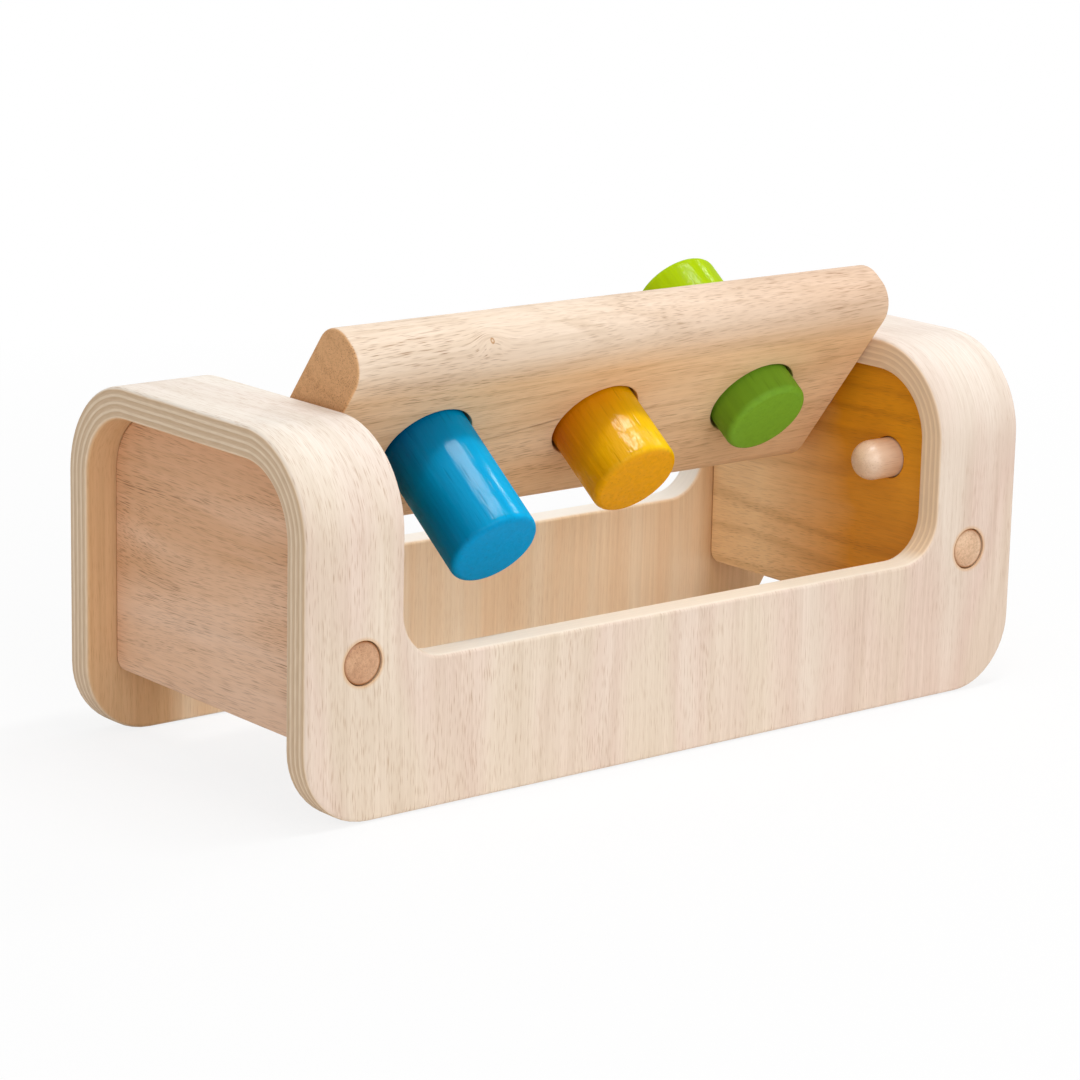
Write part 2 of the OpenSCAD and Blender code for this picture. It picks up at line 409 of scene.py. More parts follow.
def veneerFinish(look, sizes):
    cells = look["cells"]
    finish, tree, shader = startMaterial("shellVeneer")
    x, along, depth = unrolled(tree, sizes)
    flat = stretch(tree, joined(tree, x, along, depth), (mm, mm, mm))
    wave = times(tree, grain(tree, flat, cells["wave"], 1.0), look["waviness"] * mm)
    place = shove(tree, flat, (wave, 0.0, 0.0))
    across = calc(tree, "ABSOLUTE", x)
    behind = span(tree, along, *look["rearReach"])
    along = calc(tree, "ABSOLUTE", along)

    # face: slow cream and pink changes, painted light on the top, painted shade towards the right, fine
    # streaks, a faint figure and short pores
    face = ramp(tree, spread(tree, grain(tree, place, cells["blotch"])), look["face"])
    face = mixColour(tree, "MULTIPLY", span(tree, x, *look["rightReach"]), face, look["rightShade"])
    topLight = span(tree, along, *look["topReach"], look["topLightShare"], 0)
    face = mixColour(tree, "MIX", topLight, face, look["top"])
    streak = grain(tree, place, cells["streak"], 3.0, 0.6)
    fine = grain(tree, place, cells["fine"], 2.0, 0.6)
    wide = grain(tree, place, cells["wide"])
    for layer, depths in ((streak, look["streak"]), (fine, look["fine"]), (wide, look["wide"])):
        face = shade(tree, face, spread(tree, layer, *depths))
    figure = times(tree, grain(tree, place, cells["figure"], 1.0), look["figureLines"])
    figure = calc(tree, "SINE", figure)
    face = shade(tree, face, span(tree, figure, look["figureStart"], 1, 1, look["figureShade"]))
    dense = patches(tree, flat, cells["patches"])
    dense = times(tree, dense, span(tree, x, *look["fleckReach"], 1, look["fleckFade"]))
    dash = calc(tree, "MAXIMUM", *[pores(tree, place, *kind) for kind in look["pores"]])
    dash = times(tree, dash, dense, look["fleckShare"])
    face = mixColour(tree, "MULTIPLY", dash, face, look["flecks"])
    fromHole = fromDowel(tree, sizes["dowelX"], sizes["dowelZ"])
    oiled = span(tree, fromHole, *look["holeRimReach"], look["holeRimShare"], 0)  # oil in the cut edge
    face = mixColour(tree, "MIX", oiled, face, look["holeRim"])

    # inner face: warmer, partly its own veneer and partly painted warm shade, with painted shade deepest in
    # the two end recesses
    inside = ramp(tree, spread(tree, grain(tree, place, cells["inBlotch"])), look["inside"])
    recessShadeMask = span(tree, across, *look["recessReach"], 0, look["recessShare"])
    inside = mixColour(tree, "MIX", recessShadeMask, inside, look["recessShade"])
    inside = shade(tree, inside, spread(tree, streak, *look["insideStreak"]))
    inside = mixColour(tree, "MULTIPLY", times(tree, dash, look["insideFlecks"]), inside, look["flecks"])

    # edges: plies, warmer in the window, with painted light making them pale in the window, paler on the
    # sill and palest round the rear window
    uneven = times(tree, grain(tree, flat, cells["uneven"]), look["plyUneven"])
    ply = calc(tree, "ADD", calc(tree, "SUBTRACT", depth, look["plyUneven"] / 2), uneven)
    ply = calc(tree, "DIVIDE", ply, sizes["ply"])
    bands = ramp(tree, ply, [(start, look["plyTones"][tone]) for start, tone in look["plies"]])
    bands = shade(tree, bands, spread(tree, grain(tree, flat, cells["speck"]), *look["plySpeck"]))
    inWindow = span(tree, across, *look["windowReach"], 1, 0)
    bands = mixColour(tree, "MULTIPLY", inWindow, bands, look["windowTint"])
    bands = mixColour(tree, "MIX", times(tree, inWindow, look["windowEdgeLight"]), bands, look["sill"])
    sillLight = times(tree, span(tree, along, *look["sillStart"]), span(tree, along, *look["sillEnd"], 1, 0))
    sillLight = times(tree, sillLight, inWindow, look["edgeLightShare"])
    bands = mixColour(tree, "MIX", sillLight, bands, look["sill"])
    rearEdgeLight = times(tree, inWindow, behind, look["edgeLightShare"])
    bands = mixColour(tree, "MIX", rearEdgeLight, bands, look["rearEdgeHighlight"])

    colour = mixColour(tree, "MIX", span(tree, depth, *look["faceDepth"]), face, bands)
    colour = mixColour(tree, "MIX", span(tree, depth, *look["insideDepth"]), colour, inside)
    finishWood(tree, shader, look, colour, streak, dash)
    return finish


# solid pale hardwood for the panels, bar, dowels and pins, with its grain along X after the turn

woodPattern = {
    "cells": {  # in a metre along the grain, and both ways across it
        "wave": (7, 26, 26), "blotch": (9, 55, 55), "streak": (18, 1000, 1000),
        "rings": (3.5, 22, 22), "lines": (5, 420, 420), "patches": (14, 45, 45)},
    "toneStops": (0.05, 0.5, 0.95), "ringStart": 0.35, "lineReach": (0.53, 0.68), "poresOffRing": 0.6,
    "mainPores": ((120, 2100, 2100), 0.08, 0.36, 0.7),
    "otherPores": [(90, 1500), (165, 2300)], "otherDash": (0.1, 0.38, 0.75),
}


def solidWood(name, look):
    cells = woodPattern["cells"]
    finish, tree, shader = startMaterial(name)
    spot = objectPlace(tree)
    lying = turned(tree, spot, look["turn"], look["shift"])
    straight = turned(tree, lying, (0, 0, look.get("tilt", 0)))
    wave = times(tree, grain(tree, straight, cells["wave"], 1.0), look["waviness"] * mm)
    place = shove(tree, straight, (0.0, wave, wave))
    if "knot" in look:
        place, eye = knotIn(tree, lying, place, look["knot"])

    blotch = spread(tree, grain(tree, place, cells["blotch"]))
    # painted shade: the tone slides darker along one axis, where less light falls
    if "shadeLean" in look:
        shadeLean = look["shadeLean"]
        offset = calc(tree, "SUBTRACT", inMm(tree, spot)[shadeLean["axis"]], shadeLean["middle"])
        blotch = calc(tree, "ADD", blotch, times(tree, offset, shadeLean["rate"]))
    colour = ramp(tree, blotch, list(zip(woodPattern["toneStops"], look["tones"])))
    ringDepth = look["ringShade"]
    # painted shade and light on the panels' inner faces
    if "inside" in look:
        inner, paintedShadeGold = insideShadeTone(tree, spot, blotch, look["inside"])
        colour = mixColour(tree, "MIX", inner, colour, paintedShadeGold)
        ringDepth = span(tree, inner, 0, 1, ringDepth, look["inside"]["ringShade"])
    # painted highlight: a paler tone along the bar's top edge, fading towards the right
    if "topEdgeHighlight" in look:
        edge = look["topEdgeHighlight"]
        barX, barY = inMm(tree, lying)[:2]
        share = span(tree, barY, *edge["reach"], 0, edge["share"])
        tone = mixColour(tree, "MIX", span(tree, barX, *edge["fade"]), edge["tone"], edge["farTone"])
        colour = mixColour(tree, "MIX", share, colour, tone)
    if "endGrain" in look:
        onEnd = span(tree, calc(tree, "ABSOLUTE", inMm(tree, spot)[0]), *look["endGrain"]["reach"])
        colour = mixColour(tree, "MIX", onEnd, colour, look["endGrain"]["tone"])
    streak = grain(tree, place, cells["streak"], 3.0, 0.6)
    colour = shade(tree, colour, spread(tree, streak, *look["streak"]))
    rings = calc(tree, "SINE", times(tree, grain(tree, place, cells["rings"], 1.0), look["rings"]))
    darker = times(tree, span(tree, rings, woodPattern["ringStart"], 1), ringDepth)
    colour = shade(tree, colour, calc(tree, "SUBTRACT", 1.0, darker))
    lines = grain(tree, place, cells["lines"], 2.0, 0.6)
    colour = shade(tree, colour, span(tree, lines, *woodPattern["lineReach"], 1, 1 - look["lineShade"]))
    dense = patches(tree, straight, cells["patches"])
    dense = times(tree, dense, span(tree, rings, -1, 1, woodPattern["poresOffRing"], 1))
    dash = pores(tree, place, *woodPattern["mainPores"])
    for length, width in look.get("pores", woodPattern["otherPores"]):
        other = pores(tree, place, (length, width, width), *woodPattern["otherDash"])
        dash = calc(tree, "MAXIMUM", dash, other)
    dash = times(tree, dash, dense, look["fleckShare"])
    if "inside" in look:
        dash = times(tree, dash, span(tree, inner, 0, 1, 1, look["inside"]["fleckShare"]))
    colour = mixColour(tree, "MULTIPLY", dash, colour, look["flecks"])
    if "knot" in look:
        colour = mixColour(tree, "MULTIPLY", eye, colour, look["knot"]["tone"])
    if "rim" in look:
        rim = look["rim"]
        onPlugRim = span(tree, fromDowel(tree, rim["x"], rim["z"]), *rim["reach"])
        colour = mixColour(tree, "MIX", onPlugRim, colour, rim["tone"])
    finishWood(tree, shader, look, colour, streak, dash)
    return finish


def knotIn(tree, lying, place, look):  # lifts the grain over a pin knot, and gives the mask of its eye
    x, y, z = [calc(tree, "SUBTRACT", a, b) for a, b in zip(inMm(tree, lying), look["at"])]
    upY, upZ = look["up"]
    up = calc(tree, "ADD", times(tree, y, upY), times(tree, z, upZ))
    away = reach(tree, calc(tree, "DIVIDE", x, look["width"]), calc(tree, "DIVIDE", up, look["height"]))
    bell = calc(tree, "EXPONENT", times(tree, away, away, -1.0))
    lift = times(tree, bell, -look["lift"] * mm)
    moved = shove(tree, place, (0.0, times(tree, lift, upY), times(tree, lift, upZ)))
    eyeWidth, eyeHeight = look["eye"]
    eye = reach(tree, calc(tree, "DIVIDE", x, eyeWidth), calc(tree, "DIVIDE", up, eyeHeight))
    core = span(tree, eye, *look["eyeCore"], look["coreShare"], 1)
    return moved, times(tree, span(tree, eye, *look["eyeEdge"]), core)


def insideShadeTone(tree, spot, blotch, look):  # painted shade: the inner faces turn deep gold, most at the upper front, and lighter where light reaches the lower rear
    x, y, z = inMm(tree, spot)
    slope = calc(tree, "SUBTRACT", y, times(tree, z, look["slant"]))
    slope = calc(tree, "ADD", slope, times(tree, blotch, look["blotchReach"]))
    deep = mixColour(tree, "MIX", span(tree, z, *look["heightReach"]), look["low"], look["high"])
    paintedShadeGold = mixColour(tree, "MIX", span(tree, slope, *look["lightReach"]), deep, look["light"])
    return span(tree, calc(tree, "ABSOLUTE", x), *look["edgeReach"], 1, 0), paintedShadeGold


# the shell, bent from one sheet of ply

shellSizes = {
    "length": 260, "depth": 114, "height": 104, "ply": 9, "bend": 28, "foot": 21,  # mm
    "window": 98, "sill": 42, "windowCorner": 13, "easedEdge": 1.3,
    "dowelX": 111.5, "dowelZ": 43.6, "dowelHole": 6.15,
    "bendSteps": 18, "cornerSteps": 12,
    "overrun": 10, "headroom": 60, "drillHalf": 15,  # by how much the cutters stand past the sheet
}


def makeShell(s):
    halfL, halfW, sill = s["length"] / 2, s["depth"] / 2, s["sill"]
    sheet = addBlock((-halfL, -halfW, 0), (halfL, halfW, s["height"]))
    startEdit(sheet)
    pick(sheet, "FACE", lambda f: f.normal.z < -0.5 or abs(f.normal.x) > 0.5)  # the underside and both ends
    bpy.ops.mesh.delete(type="FACE")
    pick(sheet, "EDGE", lambda e: runsAlong(e, 0) and liesAt(e, 2, s["height"]))
    roundPicked(s["bend"], s["bendSteps"])
    pick(sheet, "VERT", lambda v: v.co.z < mm)
    roundPicked(s["foot"], s["cornerSteps"], "VERTICES")
    endEdit()
    thicken(sheet, s["ply"])

    farY, farZ = halfW + s["overrun"], s["height"] + s["headroom"]
    window = addBlock((-s["window"], -farY, sill), (s["window"], farY, farZ))
    startEdit(window)
    pick(window, "EDGE", lambda e: runsAlong(e, 1) and liesAt(e, 2, sill))
    roundPicked(s["windowCorner"], s["cornerSteps"])
    endEdit()
    cutAway(sheet, window)
    easeEdges(sheet, s["easedEdge"])
    z, half = s["dowelZ"], s["drillHalf"]
    for x in (-s["dowelX"], s["dowelX"]):
        for y in (-halfW, halfW):
            cutAway(sheet, addRod(s["dowelHole"], (x, y - half, z), (x, y + half, z)))
    softShade(sheet)
    return sheet


shell = makeShell(shellSizes)
settle(shell, "plyShell", "ply_shell", "frame", veneerFinish(veneer, shellSizes))
print("shell bent")


# the two end panels

panelSizes = {
    "inner": 102.5, "outer": 120.5, "halfWidth": 47.95, "lift": 19.5, "top": 94.95,  # mm
    "topCorner": 18.95, "footCorner": 3.5, "cornerSteps": 14, "easedEdge": 0.9,
    "dowelZ": 43.6, "dowelEnd": 16.9, "hole": 6.05,
    "pinY": 30.5, "pinZ": 67.7, "pinHole": 6.3, "pinRim": 0.4, "axleZ": 84, "blindEnd": 116.5,
    "drillSide": 60, "drillInner": 90,  # where the drills start, clear of the panel
}
panelWood = {
    "turn": (0, 0, -90), "shift": (0, 0, 0), "waviness": 16,
    # painted shade: darker towards the top, under the hoop's overhang
    "shadeLean": {"axis": 2, "middle": 52, "rate": -0.012},
    "tones": [rgb(228, 179, 138), rgb(240, 197, 162), rgb(243, 205, 175)],
    # painted shade on the inner faces: high and low are the shaded gold, light the lit tone
    "inside": {"high": rgb(231, 156, 22), "low": rgb(231, 155, 46), "light": rgb(255, 217, 167),
               "edgeReach": (103, 103.8), "heightReach": (45, 75), "lightReach": (-18, 26),
               "slant": 0.15, "blotchReach": 10, "ringShade": 0.12, "fleckShare": 0.5},
    "streak": (0.955, 1.035), "rings": 60, "ringShade": 0.02, "lineShade": 0.04,
    "pores": [(75, 1700), (130, 2400), (100, 2800)],
    "flecks": rgb(142, 106, 76), "fleckShare": 1.0, "roughness": 0.55,
}


def makePanel(s):
    panel = addBlock((s["inner"], -s["halfWidth"], s["lift"]), (s["outer"], s["halfWidth"], s["top"]))
    startEdit(panel)
    for height, radius in ((s["top"], s["topCorner"]), (s["lift"], s["footCorner"])):
        pick(panel, "EDGE", lambda e: runsAlong(e, 0) and liesAt(e, 2, height))
        roundPicked(radius, s["cornerSteps"])
    endEdit()
    easeEdges(panel, s["easedEdge"])
    middle, inner, end = (s["inner"] + s["outer"]) / 2, s["drillInner"], s["blindEnd"]
    dowelZ, pinZ, axleZ = s["dowelZ"], s["pinZ"], s["axleZ"]
    for side in (-1, 1):
        start, pinY = side * s["drillSide"], side * s["pinY"]
        cutAway(panel, addRod(s["hole"], (middle, start, dowelZ), (middle, side * s["dowelEnd"], dowelZ)))
        cutAway(panel, addRod(s["pinHole"], (inner, pinY, pinZ), (end, pinY, pinZ)))
    cutAway(panel, addRod(s["hole"], (inner, 0, axleZ), (end, 0, axleZ)))
    holes = [(side * s["pinY"], pinZ, s["pinHole"]) for side in (-1, 1)] + [(0, axleZ, s["hole"])]
    startEdit(panel)
    pick(panel, "EDGE", lambda e: onRim(e, 0, s["inner"], holes))
    roundPicked(s["pinRim"], 2)
    endEdit()
    softShade(panel)
    return panel


rightPanel = makePanel(panelSizes)
leftPanel = copyPiece(rightPanel, turn=180)
panelFinish = solidWood("panelHardwood", panelWood)
settle(rightPanel, "rightEndPanel", "right_end_panel", "frame", panelFinish)
settle(leftPanel, "leftEndPanel", "left_end_panel", "frame", panelFinish)
print("end panels set in")


# joint dowels, with a low crown on the end that shows

dowelSizes = {
    "radius": 6, "x": 111.5, "z": 43.6, "outside": 57, "inside": 17, "rim": 0.9, "crown": 0.75,  # mm
    # how far in each step of the crown goes, and its share of the rise
    "crownSteps": ((0.25, 0.38), (0.6, 0.27), (1.3, 0.2), (1.6, 0.11), (1.4, 0.04)),
}
dowelWood = {
    "turn": (0, 0, -90), "shift": (13, 7, 4), "waviness": 3,
    # painted light and shade: the left plugs darker, the right plugs lighter
    "shadeLean": {"axis": 0, "middle": 0, "rate": 0.003},
    "tones": [rgb(196, 143, 104), rgb(214, 167, 128), rgb(232, 194, 158)],
    "streak": (0.84, 1.1), "rings": 90, "ringShade": 0.08, "lineShade": 0.06,
    "flecks": rgb(176, 142, 112), "fleckShare": 0.9, "roughness": 0.32, "specular": 0.6,
}
plugRim = {"x": dowelSizes["x"], "z": dowelSizes["z"], "reach": (5.2, 5.8), "tone": rgb(158, 100, 50)}


def makeDowel(s):
    shoulder = s["outside"] - s["crown"]
    dowel = addRod(s["radius"], (s["x"], -s["inside"], s["z"]), (s["x"], -shoulder, s["z"]))
    startEdit(dowel)
    pick(dowel, "EDGE", lambda e: liesAt(e, 1, -s["inside"]))
    roundPicked(s["rim"], 3)
    pick(dowel, "FACE", lambda f: f.normal.y < -0.9)  # the end that shows
    rise = s["crown"] * mm
    for inward, outward in s["crownSteps"]:
        bpy.ops.mesh.inset(thickness=inward * mm, depth=outward * rise)
    endEdit()
    softShade(dowel, 60)
    return dowel


frontRightDowel = makeDowel(dowelSizes)
frontLeftDowel = copyPiece(frontRightDowel, move=(-2 * dowelSizes["x"], 0, 0))
rearLeftDowel = copyPiece(frontRightDowel, turn=180)
rearRightDowel = copyPiece(frontLeftDowel, turn=180)
dowelFinish = solidWood("dowelHardwood", dict(dowelWood, rim=plugRim))
for piece, name, node in (
        (frontRightDowel, "frontRightDowel", "front_right_dowel"),
        (frontLeftDowel, "frontLeftDowel", "front_left_dowel"),
        (rearRightDowel, "rearRightDowel", "rear_right_dowel"),
        (rearLeftDowel, "rearLeftDowel", "rear_left_dowel")):
    settle(piece, name, node, "frame", dowelFinish)
print("dowels driven in")


# stop pins, round-ended, on the inside of the panels

pinSizes = {
    "radius": 6, "tip": 89.5, "seat": 116.45, "y": 30.5, "z": 67.7,  # mm
    "tipFlat": 0.05, "tipSteps": 14, "seatRim": 0.5,
}
pinWood = {
    "turn": (0, 0, 0), "shift": (5, 11, 3), "waviness": 3,
    "tones": [rgb(224, 184, 150), rgb(232, 197, 166), rgb(239, 210, 184)],
    "streak": (0.94, 1.04), "rings": 60, "ringShade": 0.04, "lineShade": 0.03,
    "flecks": rgb(206, 184, 166), "fleckShare": 0.8, "roughness": 0.3, "specular": 0.6,
}


def makeStop(s):
    stop = addRod(s["radius"], (s["tip"], -s["y"], s["z"]), (s["seat"], -s["y"], s["z"]))
    startEdit(stop)
    pick(stop, "EDGE", lambda e: liesAt(e, 0, s["tip"]))
    roundPicked(s["radius"] - s["tipFlat"], s["tipSteps"])
    pick(stop, "EDGE", lambda e: liesAt(e, 0, s["seat"]))
    roundPicked(s["seatRim"], 2)
    endEdit()
    softShade(stop, 50)
    return stop


frontRightStop = makeStop(pinSizes)
rearRightStop = copyPiece(frontRightStop, move=(0, 2 * pinSizes["y"], 0))
rearLeftStop = copyPiece(frontRightStop, turn=180)
frontLeftStop = copyPiece(rearRightStop, turn=180)
pinFinish = solidWood("pinHardwood", pinWood)
for piece, name, node in (
        (frontRightStop, "frontRightStop", "front_right_stop"),
        (rearRightStop, "rearRightStop", "rear_right_stop"),
        (rearLeftStop, "rearLeftStop", "rear_left_stop"),
        (frontLeftStop, "frontLeftStop", "front_left_stop")):
    settle(piece, name, node, "frame", pinFinish)
print("stop pins set")


# the bar, drawn lying flat with its axle on the X axis, then turned up

barSizes = {
    "halfLength": 97, "front": -48.5, "rear": 23.5, "halfThick": 10, "easedEnd": 0.8,  # mm
    "round": 8.5, "roundSteps": 10, "turn": 53, "axleZ": 84, "axleHole": 6.05, "axleStart": 78.95,
    "holes": (-60, 0, 60), "holeY": -12.5, "holeR": 14, "holeRim": 0.6,
    "grooveR": 16.35, "grooveHalf": 4.05,
    "drillEnd": 110,  # where the axle drills start, clear of the bar
    "sides": 80,  # of the holes, and of the rings and pegs in them
}
barAngle = math.radians(barSizes["turn"])
inBarFrame = ((barSizes["turn"], 0, 0),  # turn and shift that lay the bar flat again, for its patterns
              (0, math.sin(barAngle) * barSizes["axleZ"], -math.cos(barAngle) * barSizes["axleZ"]))
barWood = {
    "turn": inBarFrame[0], "shift": inBarFrame[1], "tilt": 3.5, "waviness": 8,
    "tones": [rgb(232, 191, 146), rgb(239, 202, 160), rgb(244, 211, 173)],
    # painted highlight on the top edge, fading to the far tone at the right
    "topEdgeHighlight": {"reach": (-34, -47), "share": 0.7, "fade": (-30, 75),
                 "tone": rgb(238, 224, 209), "farTone": rgb(220, 191, 170)},
    "endGrain": {"reach": (96.4, 96.8), "tone": rgb(228, 177, 126)},
    "knot": {"at": (-51.5, -47.7, -5.1), "up": (-0.425, 0.905), "width": 5, "height": 4, "lift": 3,
             "eye": (0.6, 0.8), "eyeEdge": (1.3, 0.95), "eyeCore": (0.35, 0.75), "coreShare": 0.2,
             "tone": rgb(212, 180, 142)},
    "streak": (0.94, 1.04), "rings": 75, "ringShade": 0.05, "lineShade": 0.09,
    "flecks": rgb(168, 136, 106), "fleckShare": 1.0, "roughness": 0.55,
}


def turnUp(piece, s):
    piece.rotation_euler = (-math.radians(s["turn"]), 0, 0)
    piece.location = (0, 0, s["axleZ"] * mm)
    setDown(piece)


def makeBar(s):
    end, half, y = s["halfLength"], s["halfThick"], s["holeY"]
    bar = addBlock((-end, s["front"], -half), (end, s["rear"], half))
    startEdit(bar)
    pick(bar, "EDGE", lambda e: runsAlong(e, 0))
    roundPicked(s["round"], s["roundSteps"])
    endEdit()
    easeEdges(bar, s["easedEnd"])
    for x in s["holes"]:
        for radius, depth in ((s["holeR"], 2 * half), (s["grooveR"], s["grooveHalf"])):
            cutAway(bar, addRod(radius, (x, y, -depth), (x, y, depth), s["sides"]))
    for side in (-1, 1):
        cutAway(bar, addRod(s["axleHole"], (side * s["drillEnd"], 0, 0), (side * s["axleStart"], 0, 0)))
    holes = [(x, y, s["holeR"]) for x in s["holes"]]
    startEdit(bar)
    pick(bar, "EDGE", lambda e: onRim(e, 2, half, holes))
    roundPicked(s["holeRim"], 2)
    endEdit()
    softShade(bar)
    turnUp(bar, s)
    return bar


pegBar = makeBar(barSizes)
settle(pegBar, "pegBar", "peg_bar", "bar", solidWood("barHardwood", barWood))
print("bar drilled and turned up")


# axles, blind in the bar and in the panels

axleSizes = {"radius": 6, "start": 79, "end": 116, "rim": 0.8}  # mm
axleWood = dict(dowelWood, turn=(0, 0, 0), shift=(3, 9, 1))


def makeAxle(s):
    axle = addRod(s["radius"], (s["start"], 0, barSizes["axleZ"]), (s["end"], 0, barSizes["axleZ"]))
    startEdit(axle)
    pick(axle, "EDGE", lambda e: not runsAlong(e, 0))
    roundPicked(s["rim"], 3)
    endEdit()
    softShade(axle, 50)
    return axle


rightAxle = makeAxle(axleSizes)
leftAxle = copyPiece(rightAxle, turn=180)
axleFinish = solidWood("axleHardwood", axleWood)
settle(rightAxle, "rightAxle", "right_axle", "bar", axleFinish)
settle(leftAxle, "leftAxle", "left_axle", "bar", axleFinish)
print("axles fitted")


# rubber rings that grip the pegs

ringSizes = {"inner": 13.3, "outer": 16.3, "half": 4, "rim": 0.5}  # mm
ringRubber = {
    "tones": [(0.3, rgb(26, 24, 23)), (0.7, rgb(44, 41, 39))], "dustCells": (900, 900, 900),
    "roughness": 0.75, "bump": 0.2, "bumpDepth": 0.0002,
}


def rubberFinish(look):
    finish, tree, shader = startMaterial("gripRubber")
    dust = grain(tree, objectPlace(tree), look["dustCells"], 3.0)
    tree.links.new(ramp(tree, dust, look["tones"]), shader.inputs["Base Color"])
    shader.inputs["Roughness"].default_value = look["roughness"]
    bumpOn(tree, shader, dust, look["bump"], look["bumpDepth"])
    return finish


def makeRing(s, x):
    y, half = barSizes["holeY"], s["half"]
    ring = addRod(s["outer"], (x, y, -half), (x, y, half), barSizes["sides"], "NOTHING")
    thicken(ring, s["outer"] - s["inner"])
    easeEdges(ring, s["rim"], angle=60, segments=2)
    softShade(ring)
    turnUp(ring, barSizes)
    return ring


rubber = rubberFinish(ringRubber)
for x, name, node in zip(barSizes["holes"], ("leftGripRing", "middleGripRing", "rightGripRing"),
                         ("left_grip_ring", "middle_grip_ring", "right_grip_ring")):
    settle(makeRing(ringSizes, x), name, node, "bar", rubber)
print("grip rings in their grooves")


# the pegs, one shape copied and driven in by different amounts

pegSizes = {
    "radius": 13.25, "length": 55, "round": 2, "roundSteps": 5,  # mm
    "out": {"blue": 39, "yellow": 23.5, "green": 9},  # how far each stands out of the bar
}
# per peg: deep is painted shade, light the lit tone, end the end face's tone as it is lit
pegLooks = {
    "blue": {"deep": rgb(0, 88, 136), "light": rgb(0, 172, 226), "end": rgb(0, 146, 200),
             "bump": 0.11, "coat": 0.16},
    "yellow": {"deep": rgb(202, 108, 0), "light": rgb(254, 208, 0), "end": rgb(232, 160, 0),
               "bump": 0.26, "coat": 0.3},
    "green": {"deep": rgb(108, 152, 36), "light": rgb(128, 174, 46), "end": rgb(122, 168, 48),
              # painted light on the back end
              "bump": 0.12, "coat": 0.14, "far": rgb(174, 206, 0), "farReach": (6, 20)},
}
pegStain = {
    "blotch": (-0.1, 0.1), "sideReach": (-13, 4), "sideShare": 0.6,
    "outReach": (-11, -26), "outShare": 0.4, "endRim": (1.2, 0.2),
    "streak": (0.92, 1.05), "pores": ((900, 900, 90), 0.1, 0.32, 0.6), "poreShade": 0.82,
    "roughness": (0.44, 0.37), "coatRoughness": 0.12,
    "streakHeight": 0.6, "poreDepth": 0.6, "bumpDepth": 0.001,
    "cells": {  # in a metre both ways across the peg, and along it
        "blotch": (60, 60, 18), "streak": (700, 700, 24), "ripple": (520, 520, 170)},
}


def pegPaint(name, look, axisX, endAt):  # glossy stain, through which the grain still shows
    cells, plain = look["cells"], (1, 1, 1)
    finish, tree, shader = startMaterial(name)
    place = turned(tree, objectPlace(tree), *inBarFrame)
    x, y, z = inMm(tree, place)
    tone = spread(tree, grain(tree, place, cells["blotch"]), *look["blotch"])
    sides = [axisX + offset for offset in look["sideReach"]]
    litSide = span(tree, x, *sides, 0, look["sideShare"])  # painted shade: deeper on the left side
    litTowardsEnd = span(tree, z, *look["outReach"], 0, look["outShare"])  # and painted light: lighter towards the end, out of the bar's shade
    tone = calc(tree, "ADD", calc(tree, "ADD", tone, litSide), litTowardsEnd)
    colour = mixColour(tree, "MIX", tone, look["deep"], look["light"])
    # painted light: the end face gets its own tone for how it is lit
    onEnd = span(tree, z, *[endAt + offset for offset in look["endRim"]])
    colour = mixColour(tree, "MIX", onEnd, colour, look["end"])
    # painted light: the green peg's back end turns lime where it is lit from above
    if "far" in look:
        colour = mixColour(tree, "MIX", span(tree, z, *look["farReach"]), colour, look["far"])
    streak = grain(tree, place, cells["streak"], 3.0, 0.6)
    colour = shade(tree, colour, spread(tree, streak, *look["streak"]), plain)
    dash = pores(tree, place, *look["pores"])
    colour = shade(tree, colour, span(tree, dash, 0, 1, 1, look["poreShade"]), plain)
    tree.links.new(colour, shader.inputs["Base Color"])
    put(tree, shader.inputs["Roughness"], spread(tree, streak, *look["roughness"]))
    shader.inputs["Specular IOR Level"].default_value = 0  # all the gloss is in the coat
    shader.inputs["Coat Weight"].default_value = look["coat"]
    shader.inputs["Coat Roughness"].default_value = look["coatRoughness"]
    ripple = grain(tree, place, cells["ripple"], 2.0, 0.6)  # short brush marks that break up the gloss
    height = calc(tree, "ADD", times(tree, streak, look["streakHeight"]), ripple)
    height = calc(tree, "SUBTRACT", height, times(tree, dash, look["poreDepth"]))
    bumpOn(tree, shader, height, look["bump"], look["bumpDepth"], ("Normal", "Coat Normal"))
    return finish


def makePeg(s):
    half = s["length"] / 2
    peg = addRod(s["radius"], (0, 0, -half), (0, 0, half), barSizes["sides"])
    startEdit(peg)
    pick(peg, "EDGE", lambda e: not runsAlong(e, 2))
    roundPicked(s["round"], s["roundSteps"])
    endEdit()
    softShade(peg)
    return peg


plainPeg = makePeg(pegSizes)
for x, paint in zip(barSizes["holes"], ("blue", "yellow", "green")):
    endAt = -barSizes["halfThick"] - pegSizes["out"][paint]
    peg = copyPiece(plainPeg, move=(x, barSizes["holeY"], pegSizes["length"] / 2 + endAt))
    turnUp(peg, barSizes)
    stain = pegPaint(paint + "Stain", dict(pegStain, **pegLooks[paint]), x, endAt)
    settle(peg, paint + "Peg", paint + "_peg", paint + "_peg", stain)
bpy.data.objects.remove(plainPeg)
print("pegs painted and driven in")


# camera at the photograph's place

shot = {"azimuth": -39.2127, "elevation": 13.7434, "roll": 1.3057, "distance": 1.05331,
        "target": (-0.006656, 0, 0.050752), "lens": 121.51, "sensor": 36, "nearest": 0.01}


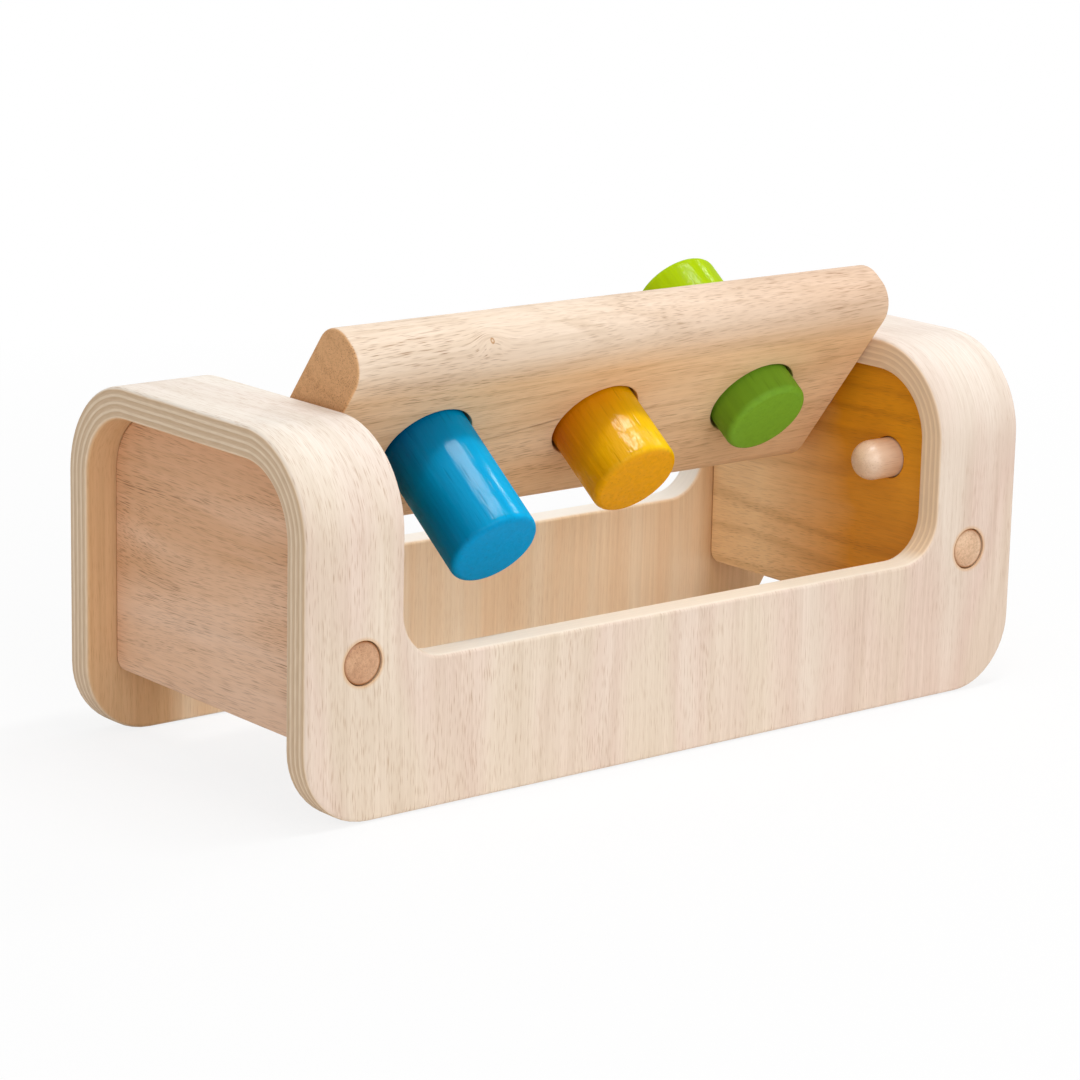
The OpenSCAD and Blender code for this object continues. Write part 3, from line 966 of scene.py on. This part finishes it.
def makeCamera(s):
    a, e = math.radians(s["azimuth"]), math.radians(s["elevation"])
    back = Vector((math.sin(a) * math.cos(e), -math.cos(a) * math.cos(e), math.sin(e)))
    roll = Quaternion((0, 0, 1), math.radians(s["roll"]))
    clearPick()
    bpy.ops.object.camera_add(location=Vector(s["target"]) + back * s["distance"])
    camera = bpy.context.object
    camera.name = "photoCamera"
    camera.rotation_mode = "QUATERNION"
    camera.rotation_quaternion = (-back).to_track_quat("-Z", "Y") @ roll
    camera.data.lens = s["lens"]
    camera.data.sensor_width = s["sensor"]
    camera.data.clip_start = s["nearest"]
    bpy.context.scene.camera = camera


makeCamera(shot)


# soft studio light: a weak box and a strip overhead, a small strip at the right,
# two boxes in front and a fill at the left

lamps = {
    "overheadBox": {"place": (-0.15, 0.1, 1.25), "aim": (0, 0, 0.05), "size": (1.3, 0.9), "power": 1.6},
    "overheadStrip": {"place": (0.15, -0.185, 1.25), "aim": (0.128, 0, 0.05),
                      "size": (0.7, 0.1), "power": 6.3},
    "rightStrip": {"place": (0.975, 0.11, 0.94), "aim": (-0.06, -0.03, 0.085),
                   "size": (0.2, 0.08), "power": 1.8},
    "frontLow": {"place": (-0.3, -1.9, 0.35), "aim": (0, 0, 0.05), "size": (1.2, 0.6), "power": 3.2},
    "frontHigh": {"place": (-0.2, -1.6, 0.95), "aim": (0, 0, 0.05), "size": (1.2, 0.6), "power": 5.6},
    "leftFill": {"place": (-1.2, -1.5, 0.6), "aim": (0, 0, 0.05), "size": (1.0, 0.8), "power": 2.8},
}
for name, lamp in lamps.items():
    clearPick()
    bpy.ops.object.light_add(type="AREA", location=lamp["place"])
    box = bpy.context.object
    box.name = name
    box.data.shape = "RECTANGLE"
    box.data.size, box.data.size_y = lamp["size"]
    box.data.energy = lamp["power"]
    box.rotation_mode = "QUATERNION"
    box.rotation_quaternion = (Vector(lamp["aim"]) - Vector(lamp["place"])).to_track_quat("-Z", "Y")
print("camera and lamps placed")


# white surroundings and a pale floor that keeps a soft shadow

studio = {
    "ambient": 0.41, "floorColour": (0.9, 0.9, 0.9, 1), "floorRoughness": 0.9, "floorSpecular": 0.1,
    "floorSize": 12, "floorZ": -0.0003,
    "glowNear": 0.84, "shadowReach": (0.16, 0.6), "mirrorReach": (0.1, 0.5),
}


def lookingRays(tree):  # what the camera sees, straight or through glass, and what a gloss mirrors
    path = tree.nodes.new("ShaderNodeLightPath")
    seen = calc(tree, "MAXIMUM", path.outputs["Is Camera Ray"], path.outputs["Is Transmission Ray"])
    return seen, path.outputs["Is Glossy Ray"]


def makeSurroundings(s):
    world = bpy.data.worlds.new("studioWhite")
    bpy.context.scene.world = world
    world.use_nodes = True
    tree = world.node_tree
    white = calc(tree, "MAXIMUM", *lookingRays(tree))
    air = tree.nodes["Background"]
    air.inputs["Color"].default_value = (1, 1, 1, 1)
    put(tree, air.inputs["Strength"], span(tree, white, 0, 1, s["ambient"], 1))

    clearPick()
    bpy.ops.mesh.primitive_plane_add(size=s["floorSize"], location=(0, 0, s["floorZ"]))
    floor = bpy.context.object
    floor.name = "studioFloor"
    setDown(floor)
    finish, tree, shader = startMaterial("paleFloor")
    shader.inputs["Base Color"].default_value = s["floorColour"]
    shader.inputs["Roughness"].default_value = s["floorRoughness"]
    shader.inputs["Specular IOR Level"].default_value = s["floorSpecular"]
    glow = tree.nodes.new("ShaderNodeEmission")
    mix = tree.nodes.new("ShaderNodeMixShader")
    away = times(tree, reach(tree, *inMm(tree, objectPlace(tree))[:2]), mm)
    seen, mirrored = lookingRays(tree)
    seen = times(tree, seen, span(tree, away, *s["shadowReach"], s["glowNear"], 1))
    mirrored = times(tree, mirrored, span(tree, away, *s["mirrorReach"]))
    put(tree, mix.inputs[0], calc(tree, "MAXIMUM", seen, mirrored))
    tree.links.new(shader.outputs["BSDF"], mix.inputs[1])
    tree.links.new(glow.outputs["Emission"], mix.inputs[2])
    tree.links.new(mix.outputs["Shader"], tree.nodes["Material Output"].inputs["Surface"])
    floor.data.materials.append(finish)


makeSurroundings(studio)
bpy.context.scene.view_settings.view_transform = "Standard"
print("studio ready")
